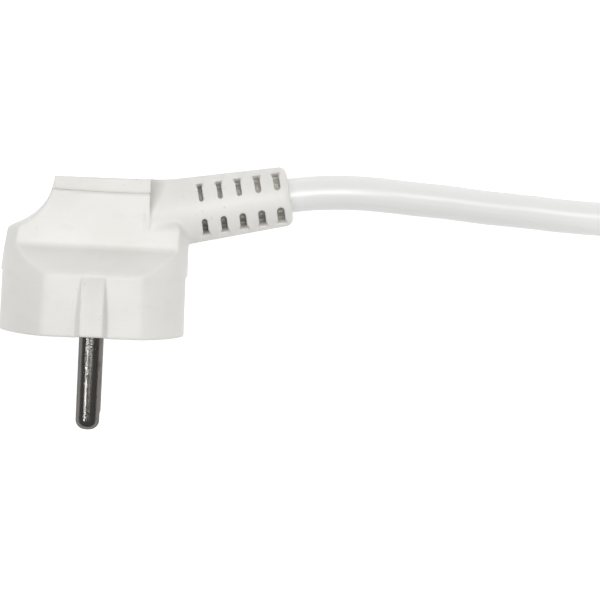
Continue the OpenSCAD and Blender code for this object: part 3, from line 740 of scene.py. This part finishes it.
class CordSizes(bpy.types.PropertyGroup):
    """Sizes that a user would change."""

    cord_diameter: bpy.props.FloatProperty(
        name="Cord diameter", description="Diameter of the cord's sheath",
        default=2 * CORD_R * MM, min=0.005, max=0.009, unit="LENGTH", precision=4)
    shell_cell: bpy.props.FloatProperty(
        name="Housing detail", description="Grid size of the moulded housing",
        default=0.0003, min=0.0002, max=0.001, unit="LENGTH", precision=5)
    relief_cell: bpy.props.FloatProperty(
        name="Relief detail", description="Grid size of the strain reliefs",
        default=0.0002, min=0.00015, max=0.001, unit="LENGTH", precision=5)
    camera_distance: bpy.props.FloatProperty(
        name="Camera distance", description="From the camera to the point it looks at",
        default=0.7, min=0.2, max=3, unit="LENGTH")


class CordColours(bpy.types.PropertyGroup):
    """Colours that a user would change."""

    housing: bpy.props.FloatVectorProperty(
        name="Housing", description="Colour of the plug's and the socket's housings",
        default=(0.80, 0.79, 0.755), size=3, subtype="COLOR", min=0, max=1)
    insert: bpy.props.FloatVectorProperty(
        name="Inserts", description="Colour of the hard plastic inserts",
        default=(0.74, 0.74, 0.71), size=3, subtype="COLOR", min=0, max=1)
    cord: bpy.props.FloatVectorProperty(
        name="Cord", description="Colour of the cord's sheath",
        default=(0.83, 0.835, 0.815), size=3, subtype="COLOR", min=0, max=1)
    pins: bpy.props.FloatVectorProperty(
        name="Pins", description="Colour of the plating on the pins",
        default=(0.175, 0.166, 0.156), size=3, subtype="COLOR", min=0, max=1)
    tie: bpy.props.FloatVectorProperty(
        name="Tie", description="Colour of the strap round the hank",
        default=(0.022, 0.022, 0.025), size=3, subtype="COLOR", min=0, max=1)
    floor: bpy.props.FloatVectorProperty(
        name="Floor", description="Colour of the floor",
        default=(0.36, 0.36, 0.36), size=3, subtype="COLOR", min=0, max=1)


# ---------------------------------------------------------------- operators

CAMERA_TILT, CAMERA_ROLL, CAMERA_YAW = math.radians(4.68), math.radians(2.58), math.radians(2.73)
LOOK_AT = np.array([0.03140, 0.00012, PLUG_AT[2] * MM])
LENS, SENSOR = 205.7, 36
FLOOR_HALF = 3
# name, place and size in metres, and watts
LIGHTS = (
    ("key", (0.14, 0.2, 1.25), 0.55, 7.15),
    ("fill", (-0.45, 0.35, 1.2), 0.7, 1.6),
    ("side", (0.6, 0.3, 0.8), 0.3, 1.7),
    ("streak", (-0.55, -0.16, 1.0), 0.13, 1.6),
)


def place_object(thing, x, y, z, place):
    """Sets an object's axes and place in the world, and puts it in the scene."""
    matrix = np.eye(4)
    matrix[:3, 0], matrix[:3, 1], matrix[:3, 2], matrix[:3, 3] = x, y, z, place
    thing.matrix_world = Matrix(matrix.tolist())
    bpy.context.scene.collection.objects.link(thing)


class CORD_OT_stage(bpy.types.Operator):
    """Makes the camera, the floor, the lights and the surroundings"""

    bl_idname = "cord.stage"
    bl_label = "Stage"

    def execute(self, context):
        scene = context.scene
        front = np.array([0, math.sin(CAMERA_TILT), math.cos(CAMERA_TILT)])
        level = np.array([0, math.cos(CAMERA_TILT), -math.sin(CAMERA_TILT)])
        along = np.array([1, 0, 0])
        side = math.cos(CAMERA_ROLL) * along + math.sin(CAMERA_ROLL) * level
        up = math.cos(CAMERA_ROLL) * level - math.sin(CAMERA_ROLL) * along
        right = math.cos(CAMERA_YAW) * side + math.sin(CAMERA_YAW) * front
        back = math.cos(CAMERA_YAW) * front - math.sin(CAMERA_YAW) * side
        data = bpy.data.cameras.new("camera")
        data.sensor_width, data.lens = SENSOR, LENS
        data.clip_start, data.clip_end = 0.01, 20
        camera = bpy.data.objects.new("camera", data)
        place_object(camera, right, up, back, LOOK_AT + scene.cord_sizes.camera_distance * back)
        scene.camera = camera

        f = FLOOR_HALF
        mesh = bpy.data.meshes.new("floor")
        mesh.from_pydata([(-f, -f, 0), (f, -f, 0), (f, f, 0), (-f, f, 0)], [], [(0, 1, 2, 3)])
        floor = bpy.data.objects.new("floor", mesh)
        scene.collection.objects.link(floor)
        finish = Shader("floor", Roughness=0.9, Specular_IOR_Level=0.1)
        colour = tuple(scene.cord_colours.floor)
        finish.send(Base_Color=finish.tint(finish.noise(14, 3), colour,
                                           tuple(c * 0.97 for c in colour)),
                    Emission_Color=(1, 1, 1, 1), Emission_Strength=0.9)
        mesh.materials.append(finish.material)

        world = bpy.data.worlds.new("surroundings")
        world.use_nodes = True
        background = world.node_tree.nodes["Background"]
        background.inputs["Color"].default_value = (0.98, 0.99, 1, 1)
        background.inputs["Strength"].default_value = 0.24
        scene.world = world
        scene.view_settings.view_transform = "Standard"
        for name, place, size, watts in LIGHTS:
            light = bpy.data.lights.new(name, "AREA")
            light.size, light.energy = size, watts
            z = np.array(place) - LOOK_AT
            z = z / np.linalg.norm(z)
            x = np.cross([0, 1.0, 0.1], z)
            x /= np.linalg.norm(x)
            place_object(bpy.data.objects.new(name, light), x, np.cross(z, x), z, place)
        return {"FINISHED"}


class CORD_OT_cord(bpy.types.Operator):
    """Makes the whole cord: the lead, the tied hank and the tail"""

    bl_idname = "cord.cord"
    bl_label = "Cord"

    def execute(self, context):
        path = cord_path()
        radius = context.scene.cord_sizes.cord_diameter / MM / 2
        sides = 28
        points, faces, fans = tube(path, radius, sides)
        run = np.concatenate([[0], np.cumsum(np.linalg.norm(np.diff(path, axis=0), axis=1))])
        around = np.tile(np.arange(sides) / sides, len(path))
        uv = np.stack([around, np.repeat(run, sides) / CORD_UV], 1)
        uv = np.concatenate([uv, [[0, 0], [0, run[-1] / CORD_UV]]])
        piece = make_piece("cord", points, faces, "cord_white",
                           ("cord_lead", "cord_hank", "cord_tail", "plug_sheath_end",
                            "socket_sheath_end"), uv, fans)
        self.report({"INFO"}, f"cord {run[-1] * MM:.3f} m")
        (path * MM).tolist()
        return {"FINISHED"}


class CORD_OT_housing(bpy.types.Operator):
    """Makes the plug's moulded housing, with its lip, guide grooves and neck"""

    bl_idname = "cord.housing"
    bl_label = "Plug housing"

    def execute(self, context):
        cell = context.scene.cord_sizes.shell_cell / MM
        points, faces = level_surface(shell_field, (-19.6, -0.7, -17), (20.9, 34, 17), cell)
        make_piece("plug_housing", points + PLUG_AT, faces, "white_pvc", ("plug_overmould",),
                   dirt_and_painted_shade=shell_painted_shade(*points.T))
        return {"FINISHED"}


class CORD_OT_reliefs(bpy.types.Operator):
    """Makes the ringed strain reliefs of the plug and the socket"""

    bl_idname = "cord.reliefs"
    bl_label = "Strain reliefs"

    def execute(self, context):
        cell = context.scene.cord_sizes.relief_cell / MM
        field = relief_field(RELIEF_LEN, *PLUG_SLEEVE)
        points, faces = level_surface(
            field, (-1.6, -7.2, -7.2), (RELIEF_LEN + 0.4, 7.2, 7.2), cell)
        make_piece("plug_sleeve", PLUG_AT + on_relief_axis(*points.T), faces, "white_pvc",
                   ("plug_relief",), dirt_and_painted_shade=slot_painted_shade(RELIEF_LEN, *PLUG_SLEEVE[:2], *points.T))

        root = CASING_LOW[0]
        length = root - box_mm("socket_relief")[0][0]
        field = relief_field(length, *SOCKET_SLEEVE_RADII, length - SOCKET_FIRST_SLOT,
                             *SOCKET_SLOTS)
        points, faces = level_surface(
            field, (-1.6, -7.8, -7.8), (length + 0.4, 7.8, 7.8), cell * 1.3)
        s, d, v = points.T
        turned = np.stack([root - s, SOCKET_AT[1] - d, SOCKET_AT[2] + v], 1)
        make_piece("socket_sleeve", turned, faces, "white_pvc", ("socket_relief",),
                   dirt_and_painted_shade=slot_painted_shade(length, *SOCKET_SLEEVE_RADII, s, d, v))
        return {"FINISHED"}


class CORD_OT_pins(bpy.types.Operator):
    """Makes the two plated pins"""

    bl_idname = "cord.pins"
    bl_label = "Pins"

    def execute(self, context):
        tip = arc_points(PIN_R - PIN_ROUND, PIN_ROUND - PIN_LEN, PIN_ROUND, -90, 0, 12)
        neck = [(PIN_R, -0.3), (PIN_NECK, -0.15), (PIN_NECK, 0.3)]
        collar = [(PIN_COLLAR, 0.3), (PIN_COLLAR, PIN_INSIDE)]
        radius, along = np.concatenate([tip, neck, collar]).T
        path = np.stack([0 * along, along, 0 * along], 1)
        points, faces, fans = tube(path, radius, PIN_SIDES)
        for name, side in (("live_pin", 1), ("neutral_pin", -1)):
            place = PLUG_AT + np.array([0, 0, side * PIN_OFF_AXIS])
            make_piece(name + "_plated", points + place, faces, "nickel", (name,),
                       triangles=fans)
        return {"FINISHED"}


class CORD_OT_socket(bpy.types.Operator):
    """Makes the socket's casing, with a fluted grip behind its collar"""

    bl_idname = "cord.socket"
    bl_label = "Socket casing"

    def execute(self, context):
        end = CASING_LOW[0] - SOCKET_AT[0]
        body = SOCKET_R - COLLAR_STEP
        rim = RECESS_DEPTH - RIM_ROUND
        profile = np.concatenate([
            [(NECK_R, end), (8.0, end)],
            arc_points(8.0, end + 0.4, 0.4, -90, 0, 4),
            [(9.2, DOME_AT - 19)],
            arc_points(body - DOME_ROUND, DOME_AT, DOME_ROUND, -72, 0, 20),
            [(body, DOME_AT + z) for z in np.linspace(0.8, 15, 20)],
            [(body + 0.15, -6.2), (body + 0.6, -4.8), (SOCKET_R - 0.5, -2.2), (SOCKET_R, -1.0)],
            [(SOCKET_R, rim)],
            arc_points(SOCKET_R - RIM_ROUND, rim, RIM_ROUND, 0, 90, 6),
            [(RECESS_R + 0.05, RECESS_DEPTH), (RECESS_R, RECESS_DEPTH - 0.4)],
            [(RECESS_R, SEAT_DEPTH), (SEAT_R, SEAT_DEPTH)],
            [(SEAT_R, DOME_AT - 2), (NECK_R, DOME_AT - 17)],
        ])

        def fluted(r, along, angle):
            """Outer wall with shallow flutes between the dome and the collar."""
            zone = ease((along - DOME_AT - 1) / 2.5) * ease((-7.5 - along) / 2.5)
            wave = 0.5 - 0.5 * np.cos(FLUTES * angle)
            return np.where(r > 20.5, r - FLUTE_DEEP * zone * wave ** 0.7, r)

        points, faces = lathe(profile, FLUTES * STEPS_TO_FLUTE, fluted)
        make_piece("socket_shell", points + SOCKET_AT, faces, "white_pvc", ("socket_casing",))
        return {"FINISHED"}


class CORD_OT_spring(bpy.types.Operator):
    """Makes the shutter's return spring"""

    bl_idname = "cord.spring"
    bl_label = "Return spring"

    def execute(self, context):
        low, high = box_mm("shutter_spring")
        middle, wire = (low + high) / 2, SPRING_WIRE
        coil = (high[1] - low[1] - wire) / 2
        f = np.linspace(0, 1, 360)
        rise = np.clip((f - 0.1) / 0.8, 0, 1)
        a = 2 * np.pi * SPRING_TURNS * f
        path = np.stack([middle[0] + coil * np.sin(a), middle[1] + coil * np.cos(a),
                         low[2] + wire / 2 + (high[2] - low[2] - wire) * rise], 1)
        points, faces, fans = tube(path, wire / 2, 8)
        spring = make_piece("return_spring", points, faces, "spring_steel",
                            ("shutter_spring",), triangles=fans)
        joint = next(j for j in frame["joints"] if j["name"] == "shutter_slide")
        rest = (high[2] - low[2]) * MM
        (rest - joint["range_m"][1]) / rest
        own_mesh(spring)
        return {"FINISHED"}


class CORD_OT_tie(bpy.types.Operator):
    """Makes the hook-and-loop strap round the hank, as a flat section along its middle line"""

    bl_idname = "cord.tie"
    bl_label = "Tie"

    def execute(self, context):
        low, high = box_mm("cord_tie")
        middle = (low + high) / 2
        half = (high[1] - low[1] - TIE_THICK) / 2
        top = TIE_TOP - TIE_THICK / 2 - 0.1
        line = strap_path(half, TIE_THICK / 2 + 0.02, top, TIE_CORNER, TIE_THICK)
        path = spline(np.c_[np.zeros(len(line)), line], TIE_STEP)
        path += np.array([middle[0], middle[1], 0])
        a = np.linspace(0, 2 * np.pi, 24, endpoint=False)
        across = np.sign(np.cos(a)) * (high[0] - low[0]) / 2 * np.abs(np.cos(a)) ** 0.25
        upward = np.sign(np.sin(a)) * TIE_THICK / 2 * np.abs(np.sin(a)) ** 0.6
        side = np.array([1.0, 0, 0])
        out = np.cross(side, directions(path))
        rings = (path[:, None] + across[None, :, None] * side
                 + upward[None, :, None] * out[:, None])
        points, faces, fans = sweep(path, rings)
        run = np.arange(len(path)) * TIE_STEP / TIE_UV
        uv = np.stack([np.tile(across / TIE_UV, len(path)), np.repeat(run, len(a))], 1)
        uv = np.concatenate([uv, [[0, 0], [0, run[-1]]]])
        make_piece("hank_tie", points, faces, "tie_black", ("cord_tie",), uv, fans)
        return {"FINISHED"}


def strap_path(half, base, top, r, thick):
    """The strap's middle line: once round the waist of the hank, then over its own start."""
    lap = thick * 1.04
    first = [(y, top) for y in np.linspace(6, 6 - half, 4)]
    parts = [
        first,
        arc_points(r - half, top - r, r, 100, 180, 8),
        [(-half, z) for z in np.linspace(top - r - 3, base + r + 3, 4)],
        arc_points(r - half, base + r, r, 180, 270, 8),
        [(y, base) for y in np.linspace(r - half + 3, half - r - 3, 4)],
        arc_points(half - r, base + r, r, -90, 0, 8),
        [(half, z) for z in np.linspace(base + r + 3, top - r - 3, 4)],
        arc_points(half - r, top - r, r, 0, 80, 8),
        [(7.8, top + 0.15), (6.2, top + 0.55 * lap), (4.5, top + lap), (2, top + lap),
         (-2, top + lap), (-6, top + lap), (-8.5, top + lap)],
    ]
    return np.concatenate([np.array(p, float) for p in parts])


class CORD_OT_finishes(bpy.types.Operator):
    """Gives each carried-over part of the frame its finish"""

    bl_idname = "cord.finishes"
    bl_label = "Finishes"

    def execute(self, context):
        slots = {row["node"]: row["material_slot"] for row in frame["record"]["subparts"]}
        for name, node in frame["nodes"].items():
            finish = material_for(slots[name])
            if not node.material_slots:
                node.data.materials.append(finish)
            for held in node.material_slots:
                held.link = "OBJECT"
                held.material = finish
        return {"FINISHED"}


class CORD_PT_panel(bpy.types.Panel):
    """Lists the sizes, the colours and the operators"""

    bl_label = "Extension Cord"
    bl_space_type = "VIEW_3D"
    bl_region_type = "UI"
    bl_category = "Extension Cord"

    def draw(self, context):
        for group in (context.scene.cord_sizes, context.scene.cord_colours):
            for key in group.__annotations__:
                self.layout.prop(group, key)
        for operator in OPERATORS:
            self.layout.operator(operator.bl_idname)


OPERATORS = (CORD_OT_stage, CORD_OT_socket, CORD_OT_spring, CORD_OT_tie, CORD_OT_reliefs,
             CORD_OT_cord, CORD_OT_housing, CORD_OT_pins, CORD_OT_finishes)
CLASSES = (CordSizes, CordColours) + OPERATORS + (CORD_PT_panel,)


def register():
    for cls in CLASSES:
        bpy.utils.register_class(cls)
    bpy.types.Scene.cord_sizes = bpy.props.PointerProperty(type=CordSizes)
    bpy.types.Scene.cord_colours = bpy.props.PointerProperty(type=CordColours)


def unregister():
    del bpy.types.Scene.cord_colours
    del bpy.types.Scene.cord_sizes
    for cls in reversed(CLASSES):
        bpy.utils.unregister_class(cls)


def main():
    register()
    for operator in OPERATORS:
        group, name = operator.bl_idname.split(".")
        getattr(getattr(bpy.ops, group), name)()


if __name__ == "__main__":
    main()
